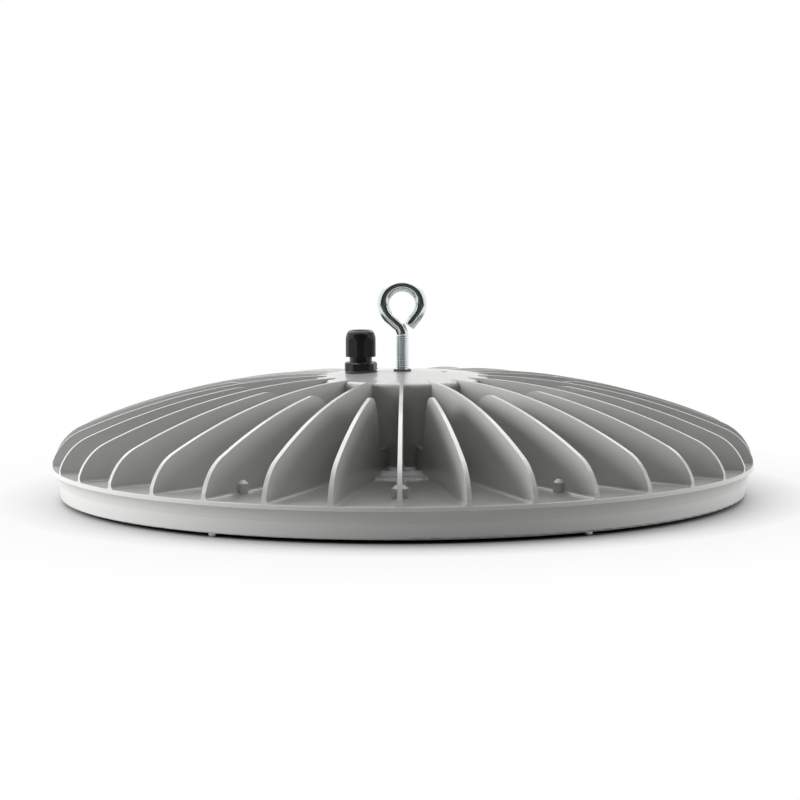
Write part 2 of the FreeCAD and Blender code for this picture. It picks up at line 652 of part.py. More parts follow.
def eye_bolt():
    """Round wire bent to an almost closed eye in the XZ plane, on a threaded shank.
    From the neck the wire leans left, runs clockwise over the top and ends beside it."""
    body = new_body("eye_bolt")
    path = new_sketch(body, "eye_path")
    ring, bend = s.eye_ring.value, s.eye_bend.value
    centre = Vector(0, s.eye_centre.value, 0)
    slope = math.radians(45.0)
    join = centre + Vector(-ring * math.cos(slope), -ring * math.sin(slope), 0)
    corner = centre - Vector(0, ring / math.sin(slope), 0)
    tangent = bend * math.tan(slope / 2)
    low = corner - Vector(0, tangent, 0)
    high = corner + Vector(-math.cos(slope), math.sin(slope), 0) * tangent
    leave = math.radians(-s.eye_end_angle.value)
    leaving = centre + Vector(math.cos(leave), math.sin(leave), 0) * ring
    heading = Vector(math.sin(leave), -math.cos(leave), 0)
    free_end = leaving + heading * s.eye_end_length.value
    neck = Vector(0, s.eye_neck.value, 0)
    line = Part.LineSegment
    pieces = [line(neck, low), bowed_edge(low, high, bend)[0], line(high, join),
              Part.ArcOfCircle(Part.Circle(centre, Vector(0, 0, 1), ring), leave,
                               math.pi + slope),
              line(leaving, free_end)]
    ids = [path.addGeometry(piece, False) for piece in pieces]
    tie = Sketcher.Constraint
    for joint in ((ids[0], 2, ids[1], 1), (ids[1], 2, ids[2], 1),
                  (ids[2], 2, ids[3], 2), (ids[3], 1, ids[4], 1)):
        path.addConstraint(tie("Tangent", *joint))
    pin_point(path, ids[0], 1, 0, s.eye_neck)
    path.addConstraint(tie("Vertical", ids[0]))
    pin_point(path, ids[3], 3, 0, s.eye_centre)
    bind(path, "Radius", s.eye_bend, ids[1])
    bind(path, "Radius", s.eye_ring, ids[3])
    bind(path, "Distance", s.eye_end_length, ids[4])
    path.addConstraint(tie("Angle", ids[2], math.pi - slope))
    path.addConstraint(tie("Angle", ids[4], math.atan2(heading.y, heading.x)))
    wire = new_sketch(body, "eye_wire_section", "XY_Plane", lift=s.eye_neck)
    circle(wire, 0, 0, s.eye_wire)
    pipe = feature(body, "AdditivePipe", "eye_wire_bent", wire)
    pipe.Spine = path
    bevel = 0.8
    revolve(body, "shank",
            [(0, s.eye_bottom), (s.eye_thread - bevel, s.eye_bottom),
             (s.eye_thread, s.eye_bottom + bevel), (s.eye_thread, s.eye_neck - 0.3),
             (s.eye_wire, s.eye_neck), (0, s.eye_neck)])


def hanging_nut():
    """Washer and lock nut inside the hub, under the eye bolt's boss."""
    seat = s.plate_under - s.boss_drop
    flat_ring("eye_washer", s.eye_thread, 8.0, seat - 1.6, 1.6)
    body = new_body("eye_lock_nut")
    sketch = new_sketch(body, "eye_nut_flats", "XY_Plane", lift=seat - 1.6)
    hexagon(sketch, 0, 0, 13.0)
    circle(sketch, 0, 0, s.eye_thread)
    pad(body, "eye_nut_block", sketch, 6.5, reverse=True)
    flat_ring("eye_seal", s.eye_thread, s.eye_seal_radius, s.eye_seat, 1.0, 0.4)


# --------------------------------------------------------------------- cable gland

def turned_at_gland(name, corners, bows=None, cut=False, body=None):
    """A section given as (radius, height) turned about the gland's own axis."""
    body = body or new_body(name)
    moved = [(r - s.gland_offset,) + tuple(rest) for r, *rest in
             [(as_size(c[0]),) + tuple(c[1:]) for c in corners]]
    revolve(body, name + ("_cut" if cut else "_turned"), moved, bows,
            axis_at=-s.gland_offset, cut=cut)
    return body


def cable_gland():
    """M16 nylon gland: spigot through the plate, sealing ring, flanged body, dome nut
    over the sealing insert, and the lock nut inside."""
    seat, thread = s.gland_seat, s.gland_thread
    flange = seat + 1.9
    turned_at_gland("gland_o_ring",
                    [(thread, seat), (9.05, seat), (9.55, seat + 0.5),
                     (9.55, flange - 0.5), (9.05, flange), (thread, flange)])
    hex_top = flange + 4.8
    body = new_body("gland_body")
    sketch = new_sketch(body, "gland_flange_flats", "XY_Plane", lift=flange)
    hexagon(sketch, -s.gland_offset, 0, 18.4, 12.0)
    pad(body, "gland_flange", sketch, 4.8)
    turned_at_gland("gland_corners",
                    [(9.75, flange - 1.0), (14.0, flange - 1.0), (14.0, hex_top + 1.0),
                     (8.9, hex_top + 1.0), (8.9, hex_top), (9.75, hex_top - 0.8)],
                    cut=True, body=body)
    turned_at_gland("gland_spigot",
                    [(5.0, seat - 10.8), (thread - 0.6, seat - 10.8),
                     (thread, seat - 10.2), (thread, flange), (7.0, flange),
                     (7.0, hex_top), (6.75, hex_top), (6.75, seat + 19.0),
                     (5.6, seat + 19.0), (5.6, seat + 8.0), (5.0, seat + 8.0)],
                    body=body)
    turned_at_gland("gland_bore", [(0, seat - 12.0), (5.0, seat - 12.0),
                                   (5.0, seat + 8.0), (5.6, seat + 8.0),
                                   (5.6, seat + 20.0), (0, seat + 20.0)],
                    cut=True, body=body)
    turned_at_gland("gland_insert",
                    [(4.0, seat + 8.0), (5.6, seat + 8.0), (5.6, seat + 25.3),
                     (4.4, seat + 25.3), (4.0, seat + 24.6)])
    dome_nut(seat + 10.0, seat + 25.7)
    body = new_body("gland_lock_nut")
    sketch = new_sketch(body, "gland_nut_flats", "XY_Plane", lift=s.plate_under)
    hexagon(sketch, -s.gland_offset, 0, 22.0, 30.0)
    circle(sketch, -s.gland_offset, 0, thread)
    pad(body, "gland_nut_block", sketch, 4.5, reverse=True)


def dome_nut(bottom, top):
    """Six flats below, one smooth dome above, and the cable's way out at the top."""
    body = new_body("gland_dome_nut")
    sketch = new_sketch(body, "dome_nut_flats", "XY_Plane", lift=bottom)
    hexagon(sketch, -s.gland_offset, 0, 17.9, 30.0)
    pad(body, "dome_nut_block", sketch, top - bottom)
    turned_at_gland("dome_nut_outside",
                    [(9.4, bottom - 1.0), (9.4, top - 6.2), (8.7, top - 3.4),
                     (6.4, top), (5.0, top + 1.0), (14.0, top + 1.0),
                     (14.0, bottom - 1.0)],
                    {1: 9.0, 2: 4.2}, cut=True, body=body)
    turned_at_gland("dome_nut_inside",
                    [(0, bottom - 1.0), (6.75, bottom - 1.0), (6.75, top - 5.5),
                     (5.6, top - 4.2), (5.6, top + 1.0), (0, top + 1.0)],
                    cut=True, body=body)


# ------------------------------------------------------------- driver and terminals

def driver_parts():
    """The potted driver hangs under a bracket that three pillars carry."""
    bracket_bottom = s.pillar_end - s.bracket_thickness
    body = new_body("driver_bracket")
    sketch = new_sketch(body, "bracket_disc_shape", "XY_Plane", lift=bracket_bottom)
    circle(sketch, 0, 0, s.bracket_radius)
    pad(body, "bracket_disc", sketch, s.bracket_thickness)
    sketch = new_sketch(body, "bracket_ear_shape", "XY_Plane", 30.0, bracket_bottom)
    rectangle(sketch, s.bracket_radius - 4.0, -5.0, s.pillar_ring + 2.8, 5.0)
    ear = pad(body, "bracket_ear", sketch, s.bracket_thickness)
    polar(body, "bracket_ears", [ear], s.pillar_count)
    drilled_ring(body, "bracket_pillar_holes", s.pillar_ring, s.m4_clearance,
                 bracket_bottom - 1.0, 4.0, s.pillar_count, 30.0)
    drilled_ring(body, "bracket_driver_holes", s.driver_screw_ring, s.m3_clearance,
                 bracket_bottom - 1.0, 4.0, s.pillar_count, 90.0)
    pan_screws(new_body("bracket_screws"), "bracket_screw", s.pillar_ring,
               bracket_bottom, M4, 8.0, s.pillar_count, 30.0)
    pan_screws(new_body("driver_screws"), "driver_screw", s.driver_screw_ring,
               s.pillar_end, M3, 6.0, s.pillar_count, 90.0, up=False)
    driver_bottom = bracket_bottom - s.driver_height
    body = new_body("led_driver")
    revolve(body, "driver_can",
            [(0, driver_bottom), (s.driver_radius - 1.5, driver_bottom),
             (s.driver_radius, driver_bottom + 1.5),
             (s.driver_radius, bracket_bottom), (0, bracket_bottom)])
    sketch = new_sketch(body, "driver_hole_place", "XY_Plane", 90.0, bracket_bottom)
    circle(sketch, s.driver_screw_ring, 0, s.m3_radius)
    hole = pad(body, "driver_hole_first", sketch, 5.0, cut=True)
    polar(body, "driver_holes", [hole], s.pillar_count)


def terminals():
    """Three-pole terminal block on the bracket, with two clamp screws a pole, and the
    earth screw with its washer under the hub plate."""
    body = new_body("terminal_block")
    left, right, half, floor, tall = 17.0, 35.0, 10.5, s.pillar_end, 11.0
    pitch, entry = 7.0, 2.2
    sketch = new_sketch(body, "block_shape", "XY_Plane", lift=floor)
    rectangle(sketch, left, -half, right, half)
    pad(body, "block", sketch, tall)
    for k in (-1, 0, 1):
        sketch = new_sketch(body, "entry_place_%d" % (k + 1), "YZ_Plane", lift=left - 1.0)
        rectangle(sketch, k * pitch - entry, floor + 2.0, k * pitch + entry,
                  floor + 2.0 + 2 * entry)
        pad(body, "entry_%d" % (k + 1), sketch, right - left + 2.0, cut=True,
            reverse=True)
        for end, x in enumerate((left + 4.5, right - 4.5)):
            sketch = new_sketch(body, "well_place_%d_%d" % (k + 1, end), "XY_Plane",
                                lift=floor + tall)
            circle(sketch, x, k * pitch, 1.9)
            pad(body, "well_%d_%d" % (k + 1, end), sketch, 5.5, cut=True)
    body = new_body("terminal_screws")
    for k in (-1, 0, 1):
        for end, x in enumerate((left + 4.5, right - 4.5)):
            sketch = new_sketch(body, "clamp_place_%d_%d" % (k + 1, end), "XY_Plane",
                                lift=floor + 3.2)
            circle(sketch, x, k * pitch, 1.9)
            pad(body, "clamp_%d_%d" % (k + 1, end), sketch, 4.6)
    boss_end = s.plate_under - s.boss_drop
    pan_screws(new_body("earth_screw"), "earth", s.earth_offset, boss_end - 1.0, M4,
               7.0, turn=90.0)
    body = new_body("earth_washer")
    revolve(body, "earth_washer_turned",
            [(s.earth_offset + s.m4_clearance, boss_end - 1.0),
             (s.earth_offset + 4.3, boss_end - 1.0), (s.earth_offset + 4.3, boss_end),
             (s.earth_offset + s.m4_clearance, boss_end)],
            axis_at=s.earth_offset, turn=90.0)


def compartment_lid():
    bottom = deck_under - s.lid_thickness
    body = flat_ring("compartment_lid", 0, s.lid_radius, bottom, s.lid_thickness)
    drilled_ring(body, "lid_clearance", s.lid_screw_ring, s.m3_clearance, bottom - 1.0,
                 4.0, 6)
    pan_screws(new_body("compartment_screws"), "compartment_screw", s.lid_screw_ring,
               bottom, M3, 8.0, 6)


# ------------------------------------------------------------------ light and cover

LED_ROWS = ((84.0, 5), (108.0, 6), (133.0, 8), (158.0, 9))      # ring radius, LEDs


def led_board(number):
    """One sector of the ring of boards, with its LEDs soldered to the underside."""
    body = new_body("led_board_%d" % number)
    sector = 360.0 / s.board_count.value
    first = sector * (number - 1)
    bottom = deck_under - s.board_thickness
    sketch = new_sketch(body, "board_shape", "XY_Plane", first, bottom)
    corners = []
    for radius, side in ((s.board_inner, 0), (s.board_outer, 0), (s.board_outer, 1),
                         (s.board_inner, 1)):
        slack = (s.board_gap / 2 / radius).value
        angle = slack if side == 0 else math.radians(sector) - slack
        corners.append((radius * math.cos(angle), radius * math.sin(angle)))
    outline(sketch, corners, {1: s.board_outer, 3: -s.board_inner})
    pad(body, "board", sketch, s.board_thickness)
    side = s.led_side / 2
    for row, (ring, count) in enumerate(LED_ROWS):
        step = (sector - 6.0) / (count - 1)
        sketch = new_sketch(body, "led_place_%d" % row, "XY_Plane", first + 3.0, bottom)
        rectangle(sketch, as_size(ring) - side, -side, as_size(ring) + side, side)
        led = pad(body, "led_%d" % row, sketch, s.led_height, reverse=True)
        polar(body, "led_row_%d" % row, [led], count, step * (count - 1))
    for turn in (10.0, 50.0):
        for name, ring in (("inner", s.board_screw_inner), ("outer", s.board_screw_outer)):
            tag = "board_hole_%s_%d" % (name, turn)
            sketch = new_sketch(body, tag + "_place", "XY_Plane", first + turn,
                                bottom - 1.0)
            circle(sketch, ring, 0, s.m3_clearance)
            pad(body, tag, sketch, 4.0, reverse=True, cut=True)


def light_side():
    for number in range(1, int(s.board_count.value) + 1):
        led_board(number)
    body = new_body("board_screws")
    for turn in (10.0, 50.0):
        for name, ring in (("inner", s.board_screw_inner), ("outer", s.board_screw_outer)):
            pan_screws(body, "board_screw_%s_%d" % (name, turn), ring,
                       deck_under - s.board_thickness, M3, 4.9, s.board_count, turn)
    cover_bottom = s.stand_off + s.bezel_thickness
    flat_ring("clear_cover", 0, s.cover_radius, cover_bottom, s.cover_thickness, 0.5)
    cover_top = cover_bottom + s.cover_thickness
    flat_ring("cover_gasket", s.seal_rib_radius - s.seal_rib_width, s.seal_rib_radius + 1.0,
              cover_top, s.seal_rib_end - cover_top)
    bezel = flat_ring("bezel_ring", s.bezel_inner, s.bezel_outer, s.stand_off,
                      s.bezel_thickness)
    drilled_ring(bezel, "bezel_holes", s.rim_screw_ring, s.m3_clearance,
                 s.stand_off - 1.0, 4.0, s.rim_screw_count)
    pan_screws(new_body("bezel_screws"), "bezel_screw", s.rim_screw_ring, s.stand_off,
               M3, 9.0, s.rim_screw_count)


# ----------------------------------------------------------------- build and export

def check(objects):
    failed = [item.Label for item in objects
              if "Invalid" in item.State or "Error" in item.State]
    if failed:
        raise RuntimeError("failed: " + ", ".join(failed))
    for body in SUB_PARTS:
        if body.Shape.isNull() or not body.Shape.isValid():
            raise RuntimeError("%s has no valid shape" % body.Label)
    for cut in objects:
        if cut.TypeId in ("PartDesign::Pocket", "PartDesign::Groove"):
            if cut.Shape.Volume > cut.BaseFeature.Shape.Volume - 0.001:
                raise RuntimeError("%s cuts nothing" % cut.Label)


heat_sink()
eye_bolt()
hanging_nut()
cable_gland()
driver_parts()
terminals()
compartment_lid()
light_side()
doc.recompute()
check(doc.Objects)

os.makedirs("parts", exist_ok=True)
for body in SUB_PARTS:
    body.Shape.exportStep(os.path.join("parts", body.Label + ".step"))
    print("%-22s %2d solids  %10.1f mm3" % (body.Label, len(body.Shape.Solids),
                                            body.Shape.Volume))
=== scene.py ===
import json
import math

import bmesh
import bpy
from bpy.props import FloatProperty, FloatVectorProperty, PointerProperty
from mathutils import Matrix, Vector


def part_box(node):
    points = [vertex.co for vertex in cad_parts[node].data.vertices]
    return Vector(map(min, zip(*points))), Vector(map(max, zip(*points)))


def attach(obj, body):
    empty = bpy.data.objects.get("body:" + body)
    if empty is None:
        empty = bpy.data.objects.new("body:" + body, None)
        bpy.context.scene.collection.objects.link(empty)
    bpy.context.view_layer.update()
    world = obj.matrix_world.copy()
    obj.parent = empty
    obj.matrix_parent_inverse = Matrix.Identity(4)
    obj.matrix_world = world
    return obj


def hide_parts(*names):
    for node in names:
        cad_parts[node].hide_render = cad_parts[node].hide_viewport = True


bl_info = {
    "name": "High Bay Light",
    "version": (1, 0, 0),
    "blender": (4, 5, 0),
    "location": "View3D > Sidebar > High Bay",
    "description": "Dresses the packed frame of a round high bay light",
    "category": "Object",
}

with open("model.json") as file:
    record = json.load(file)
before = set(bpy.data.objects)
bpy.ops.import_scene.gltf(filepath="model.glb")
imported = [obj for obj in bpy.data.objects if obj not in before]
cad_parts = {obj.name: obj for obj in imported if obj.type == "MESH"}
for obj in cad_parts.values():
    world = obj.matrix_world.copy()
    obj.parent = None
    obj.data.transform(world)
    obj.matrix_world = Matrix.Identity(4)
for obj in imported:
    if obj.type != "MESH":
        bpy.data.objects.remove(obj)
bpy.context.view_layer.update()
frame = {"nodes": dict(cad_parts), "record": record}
NODES = frame["nodes"]
MM = 0.001


# ------------------------------------------------------------------- shader writing

# A Mix node's sockets for colours: its two inputs and its result.
FIRST_COLOUR, SECOND_COLOUR, MIXED_COLOUR = 6, 7, 2


class Wire:
    """The value of one socket in a node tree, with Python's arithmetic on it."""

    def __init__(self, nodes, socket):
        self.nodes = nodes
        self.socket = socket

    def maths(self, operation, *values, clamp=False):
        """Adds a Math node on the values, which are wires or numbers."""
        return self.nodes.node("ShaderNodeMath",
                               {"operation": operation, "use_clamp": clamp},
                               dict(enumerate(values)))

    def __add__(self, other):
        return self.maths("ADD", self, other)

    __radd__ = __add__

    def __sub__(self, other):
        return self.maths("SUBTRACT", self, other)

    def __rsub__(self, other):
        return self.maths("SUBTRACT", other, self)

    def __mul__(self, other):
        return self.maths("MULTIPLY", self, other)

    __rmul__ = __mul__

    def __truediv__(self, other):
        return self.maths("DIVIDE", self, other)

    def __rtruediv__(self, other):
        return self.maths("DIVIDE", other, self)

    def __abs__(self):
        return self.maths("ABSOLUTE", self)

    def wrapped(self, period):
        """What is left of this value over whole periods."""
        return self.maths("FLOORED_MODULO", self, period)

    def clamped(self):
        """This value, kept from 0 to 1."""
        return self.maths("ADD", self, 0.0, clamp=True)

    def root(self):
        return self.maths("SQRT", self)

    def angle_to(self, other):
        """The angle of the point (other, self), in radians."""
        return self.maths("ARCTAN2", self, other)

    def near(self, middle, reach):
        """1 where this value is middle, falling to 0 at reach away from it."""
        return (1 - abs(self - middle) / reach).clamped()

    def rise(self, start, end):
        """0 up to start, and from there evenly up to 1 at end."""
        return ((self - start) / (end - start)).clamped()


def hypotenuse(first, second):
    """The distance that two wires at a right angle add up to."""
    return (first * first + second * second).root()


class Nodes:
    """A node tree, and the one way that a node gets into it."""

    def __init__(self, tree):
        self.tree = tree

    def node(self, kind, settings=None, values=None, out=0):
        """Adds a node: its settings first, then the values or links of its sockets.
        out is the output that is wanted of it."""
        made = self.tree.nodes.new(kind)
        for key, value in (settings or {}).items():
            setattr(made, key, value)
        for key, value in (values or {}).items():
            self.feed(made.inputs[key], value)
        return Wire(self, made.outputs[out])

    def feed(self, socket, value):
        """Links a wire to a socket, or sets a number or a colour on it."""
        if isinstance(value, Wire):
            self.tree.links.new(value.socket, socket)
        elif socket.type == "RGBA":
            socket.default_value = (*value, 1.0)
        else:
            socket.default_value = value

    def rays(self, *kinds):
        """For each kind of ray, 1 to the rays of that kind and 0 to the rest."""
        return [self.node("ShaderNodeLightPath", out=kind) for kind in kinds]


class Finish(Nodes):
    """One material, its shader and the patterns that vary it."""

    def __init__(self, name):
        self.material = bpy.data.materials.new(name)
        self.material.use_nodes = True
        super().__init__(self.material.node_tree)
        self.shader = self.tree.nodes["Principled BSDF"]
        self.place = self.node("ShaderNodeTexCoord", out="Object")

    def put(self, socket, value):
        """Sets or links one socket of the shader."""
        self.feed(self.shader.inputs[socket], value)

    def axes(self):
        """The place's x, y and z."""
        return [self.node("ShaderNodeSeparateXYZ", values={0: self.place}, out=axis)
                for axis in "XYZ"]

    def noise(self, scale, detail, stretch=None):
        """Noise from 0 to 1 with scale waves a metre. stretch multiplies the waves
        along each axis."""
        place = self.place
        if stretch:
            place = self.node("ShaderNodeVectorMath", {"operation": "MULTIPLY"},
                              {0: place, 1: stretch})
        return self.node("ShaderNodeTexNoise",
                         values={"Vector": place, "Scale": scale, "Detail": detail},
                         out="Fac")

    def tint(self, share, first, second):
        """A colour from first to second, by a share from 0 to 1."""
        return self.node("ShaderNodeMix", {"data_type": "RGBA"},
                         {"Factor": share, FIRST_COLOUR: first, SECOND_COLOUR: second},
                         MIXED_COLOUR)

    def bump(self, height, distance, strength):
        """A normal from a height. distance is what a height of 1 stands for."""
        return self.node("ShaderNodeBump",
                         values={"Height": height, "Distance": distance,
                                 "Strength": strength}, out="Normal")


def shade(colour, by):
    """A lighter or darker tone of a colour."""
    return tuple(min(1.0, channel * by) for channel in colour)


# -------------------------------------------------------------------------- finishes

def pin_marks(made):
    """1 on the thin rings that the casting's ejector pins leave on the deck, at even
    steps round the light, and 0 elsewhere."""
    from_axis, radius, line = 178.0 * MM, 4.0 * MM, 0.35 * MM
    first, step = math.radians(-105.0), math.radians(40.0)
    deck, deck_reach = 20.5 * MM, 1.5 * MM
    x, y, z = made.axes()
    turn = (y.angle_to(x) + (step / 2 - first)).wrapped(step) - step / 2
    distance = hypotenuse(hypotenuse(x, y) - from_axis, turn * from_axis)
    return distance.near(radius, line) * z.near(deck, deck_reach)


def powder_coat(name, colour):
    """Light grey powder coat: broad drifts in tone, orange peel, fine grain, and the
    round marks of the casting's ejector pins."""
    made = Finish(name)
    drift = made.noise(scale=9.0, detail=3.0)
    peel = made.noise(scale=420.0, detail=1.0)
    grain = made.noise(scale=3800.0, detail=1.0)
    made.put("Base Color", made.tint(drift, shade(colour, 0.965), shade(colour, 1.03)))
    made.put("Roughness", 0.26 + 0.10 * drift + 0.05 * peel)
    made.put("Coat Weight", 0.7)
    made.put("Coat Roughness", 0.13)
    made.put("Normal", made.bump(peel + 0.25 * grain - 2.4 * pin_marks(made),
                                 distance=0.03 * MM, strength=0.6))
    return made.material


def bright_zinc(name, colour):
    """Bright zinc plate: a cold tint that drifts along the wire, and a faint waviness
    from the drawing of the wire."""
    made = Finish(name)
    red, green, blue = colour
    drift = made.noise(scale=70.0, detail=3.0)
    drawn = made.noise(scale=900.0, detail=1.0)
    made.put("Base Color", made.tint(drift, shade(colour, 0.90),
                                     (red * 0.97, green, blue * 1.04)))
    made.put("Metallic", 1.0)
    made.put("Roughness", 0.08 + 0.08 * drift + 0.03 * drawn)
    made.put("Normal", made.bump(drawn, distance=0.01 * MM, strength=0.15))
    return made.material


def turned_metal(name, colour, roughness):
    """Steel or brass with fine turning marks."""
    made = Finish(name)
    drift = made.noise(scale=160.0, detail=2.0)
    marks = made.noise(scale=2600.0, detail=2.0, stretch=(1.0, 1.0, 0.3))
    made.put("Base Color", made.tint(drift, shade(colour, 0.88), shade(colour, 1.04)))
    made.put("Metallic", 1.0)
    made.put("Roughness", roughness - 0.06 + 0.14 * drift)
    made.put("Normal", made.bump(marks, distance=0.02 * MM, strength=0.5))
    return made.material


def rolled_sheet(name, colour, roughness):
    """Sheet metal with the long grain of the rolling mill."""
    made = Finish(name)
    drift = made.noise(scale=24.0, detail=3.0)
    grain = made.noise(scale=1500.0, detail=3.0, stretch=(0.03, 1.0, 1.0))
    made.put("Base Color", made.tint(drift, shade(colour, 0.92), shade(colour, 1.03)))
    made.put("Metallic", 1.0)
    made.put("Roughness", roughness - 0.06 + 0.16 * grain)
    made.put("Normal", made.bump(grain, distance=0.02 * MM, strength=0.5))
    return made.material


def black_nylon(name, colour):
    """Moulded black nylon: glossy, with a faint waviness and slightly greyer drifts."""
    made = Finish(name)
    drift = made.noise(scale=120.0, detail=2.0)
    waves = made.noise(scale=420.0, detail=1.0)
    made.put("Base Color", made.tint(drift, colour, shade(colour, 1.8)))
    made.put("Specular IOR Level", 0.40)
    made.put("Roughness", 0.17 + 0.12 * drift)
    made.put("Normal", made.bump(waves, distance=0.04 * MM, strength=0.5))
    return made.material


def moulded(name, colour, roughness, texture=1800.0):
    """A moulded plastic or rubber with an even eroded texture, of so many waves a
    metre."""
    made = Finish(name)
    drift = made.noise(scale=60.0, detail=2.0)
    grit = made.noise(scale=texture, detail=2.0)
    made.put("Base Color", made.tint(drift, shade(colour, 0.85), shade(colour, 1.12)))
    made.put("Roughness", roughness - 0.05 + 0.12 * grit)
    made.put("Normal", made.bump(grit, distance=0.04 * MM, strength=0.6))
    return made.material


# The rings of copper under the solder mask: middle radius and half width in mm.
COPPER_RINGS = ((73.0, 7.0), (96.0, 9.0), (120.5, 9.0), (145.5, 9.0))


def board_mask(name, colour):
    """White solder mask over copper: the rings of copper under it stand a little
    proud, and the mask has a fine texture."""
    made = Finish(name)
    x, y, _ = made.axes()
    out = hypotenuse(x, y)
    steepness = 6
    copper = (steepness * sum(out.near(middle * MM, half * MM)
                              for middle, half in COPPER_RINGS)).clamped()
    grit = made.noise(scale=2400.0, detail=2.0)
    made.put("Base Color", made.tint(copper, shade(colour, 0.93), colour))
    made.put("Roughness", 0.27 + 0.10 * grit)
    made.put("Normal", made.bump(copper + 0.1 * grit, distance=0.06 * MM, strength=0.7))
    return made.material


def phosphor(name, colour):
    """The yellow phosphor under an LED's clear lens."""
    made = Finish(name)
    grit = made.noise(scale=3200.0, detail=3.0)
    made.put("Base Color", made.tint(grit, shade(colour, 0.9), shade(colour, 1.06)))
    made.put("Roughness", 0.10 + 0.10 * grit)
    made.put("Coat Weight", 0.6)
    return made.material


def clear_sheet(name, colour):
    """Clear polycarbonate, slightly wavy, seen through with a gloss on it."""
    made = Finish(name)
    waves = made.noise(scale=25.0, detail=1.0)
    made.put("Base Color", colour)
    made.put("Alpha", 0.10 + 0.04 * waves)
    made.put("Roughness", 0.04 + 0.05 * waves)
    made.put("Normal", made.bump(waves, distance=0.2 * MM, strength=0.2))
    return made.material


# The record's slots: how each is made, its material's name and what else it needs.
FINISHES = {
    "grey_paint": (powder_coat, "grey_powder_coat", {}),
    "zinc_steel": (bright_zinc, "bright_zinc_plate", {}),
    "screw_steel": (turned_metal, "stainless_screws", {"roughness": 0.26}),
    "black_nylon": (black_nylon, "black_nylon", {}),
    "seal_rubber": (moulded, "dark_seal_rubber", {"roughness": 0.62}),
    "silicone": (moulded, "pale_silicone", {"roughness": 0.55}),
    "board_white": (board_mask, "white_solder_mask", {}),
    "clear_cover": (clear_sheet, "clear_polycarbonate", {}),
    "driver_can": (moulded, "potted_driver_case", {"roughness": 0.50, "texture": 900.0}),
    "terminal_plastic": (moulded, "pale_terminal_nylon", {"roughness": 0.42}),
    "terminal_brass": (turned_metal, "terminal_brass", {"roughness": 0.30}),
    "bracket_steel": (rolled_sheet, "bracket_sheet_steel", {"roughness": 0.34}),
    "lid_aluminium": (rolled_sheet, "lid_sheet_aluminium", {"roughness": 0.38}),
}
SLOT_OF = {row["node"]: row["material_slot"] for row in frame["record"]["subparts"]}
COLOUR_OF = {row["slot"]: tuple(row["base_color"][:3])
             for row in frame["record"]["materials"]}
MADE_FINISHES = {}


def finish_for(slot, colour=None):
    """The finish of one of the record's slots, made when it is first asked for. A
    colour then given stands in for the record's."""
    if slot not in MADE_FINISHES:
        make, name, options = FINISHES[slot]
        chosen = COLOUR_OF[slot] if colour is None else tuple(colour)
        MADE_FINISHES[slot] = make(name, chosen, **options)
    return MADE_FINISHES[slot]


def dress(node, colour=None):
    """Gives a carried CAD node its finish."""
    shown = NODES[node]
    shown.data.materials.clear()
    shown.data.materials.append(finish_for(SLOT_OF[node], colour))
    return shown


# The radius that small hard pieces and soft ones have on their edges, and the turn
# from which an edge counts as one.
HARD_EDGE, SOFT_EDGE = 0.2 * MM, 0.1 * MM
EDGE_TURN = math.radians(32.0)


def soften(shown, width):
    """Rounds the edges of a CAD node."""
    bevel = shown.modifiers.new("rounded_edges", "BEVEL")
    bevel.width = width
    bevel.segments = 2
    bevel.limit_method = "ANGLE"
    bevel.angle_limit = EDGE_TURN
    bevel.use_clamp_overlap = True
    bevel.harden_normals = True


# ----------------------------------------------------------------------- mesh making

def placed(name, data):
    """An object of some data, put into the scene."""
    made = bpy.data.objects.new(name, data)
    bpy.context.scene.collection.objects.link(made)
    return made


def mesh_object(name, mesh, material):
    """Turns a bmesh into an object of one material."""
    data = bpy.data.meshes.new(name)
    mesh.to_mesh(data)
    mesh.free()
    data.materials.append(material)
    return placed(name, data)


def new_piece(name, mesh, slot, replaced=(), finish=None):
    """Turns a bmesh into a piece that rides on the light."""
    bmesh.ops.recalc_face_normals(mesh, faces=mesh.faces)
    piece = mesh_object(name, mesh, finish or finish_for(slot))
    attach(piece, "root")
    if replaced:
        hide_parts(*replaced)
    return piece


def smooth(piece, angle):
    """Smooth shading, with edges that turn by more than angle degrees left crisp."""
    limit = math.radians(angle)
    mesh = bmesh.new()
    mesh.from_mesh(piece.data)
    for face in mesh.faces:
        face.smooth = True
    for edge in mesh.edges:
        edge.smooth = len(edge.link_faces) < 2 or edge.calc_face_angle(0.0) < limit
    mesh.to_mesh(piece.data)
    mesh.free()


def ring_of(mesh, points):
    return [mesh.verts.new(point) for point in points]


def bridge(mesh, first, second):
    """Quads between two rings of as many points."""
    count = len(first)
    for k in range(count):
        mesh.faces.new((first[k], first[(k + 1) % count],
                        second[(k + 1) % count], second[k]))


def turns(count):
    """count even steps of a full turn, in radians."""
    return [math.tau * k / count for k in range(count)]


def circle_points(radius, height, count):
    return [Vector((radius * math.cos(turn), radius * math.sin(turn), height))
            for turn in turns(count)]


def hexagon_points(flats, height, count):
    """count points along a hexagon, counted round from +X."""
    points = []
    for turn in turns(count):
        from_flat = (turn + math.pi / 6) % (math.pi / 3) - math.pi / 6
        reach = flats / 2 / math.cos(from_flat)
        points.append(Vector((reach * math.cos(turn), reach * math.sin(turn), height)))
    return points


def lathe(mesh, rings, place=Matrix.Identity(4)):
    """Skins rings of points, closed at both ends."""
    made = [ring_of(mesh, [place @ point for point in ring]) for ring in rings]
    for first, second in zip(made, made[1:]):
        bridge(mesh, first, second)
    mesh.faces.new(made[0])
    mesh.faces.new(made[-1])


